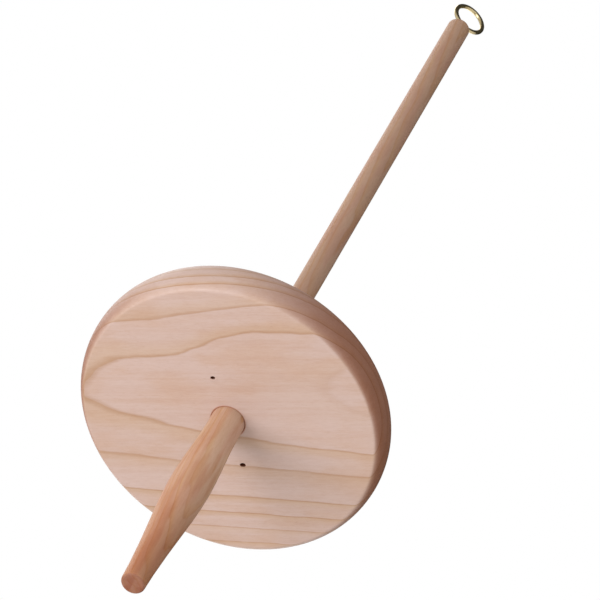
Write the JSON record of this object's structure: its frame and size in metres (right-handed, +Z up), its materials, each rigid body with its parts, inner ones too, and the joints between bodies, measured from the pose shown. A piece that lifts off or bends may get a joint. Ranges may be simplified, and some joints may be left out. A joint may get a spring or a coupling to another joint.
{
  "type": "drop spindle",
  "caption": "Bottom-whorl drop spindle for spinning yarn by hand: turned wooden shaft with a handle below a round wooden whorl and a brass hook at its top.",
  "frame": {"origin": "on the shaft's axis at the bottom tip of the handle", "axes": "+Z runs up the shaft, from the handle's tip to the hook; the hook's loop lies in the XZ plane and its mouth faces +X"},
  "size_m": [0.09, 0.09, 0.3201],
  "materials": {
    "shaft_wood": "fine-sanded close-grained hardwood, oiled",
    "whorl_wood": "fine-sanded pale hardwood with faint growth lines, oiled",
    "hook_brass": "polished brass wire"
  },
  "bodies": {
    "spindle": {"spindle_shaft": "shaft_wood", "whorl": "whorl_wood"},
    "hook": {"yarn_hook": "hook_brass", "hook_collar": "hook_brass"}
  },
  "joints": [
    {"name": "hook_turn", "type": "hinge", "parent": "spindle", "child": "hook", "pos_m": [0, 0, 0.3068], "axis": [0, 0, 1], "range_deg": [0, 180]}
  ]
}
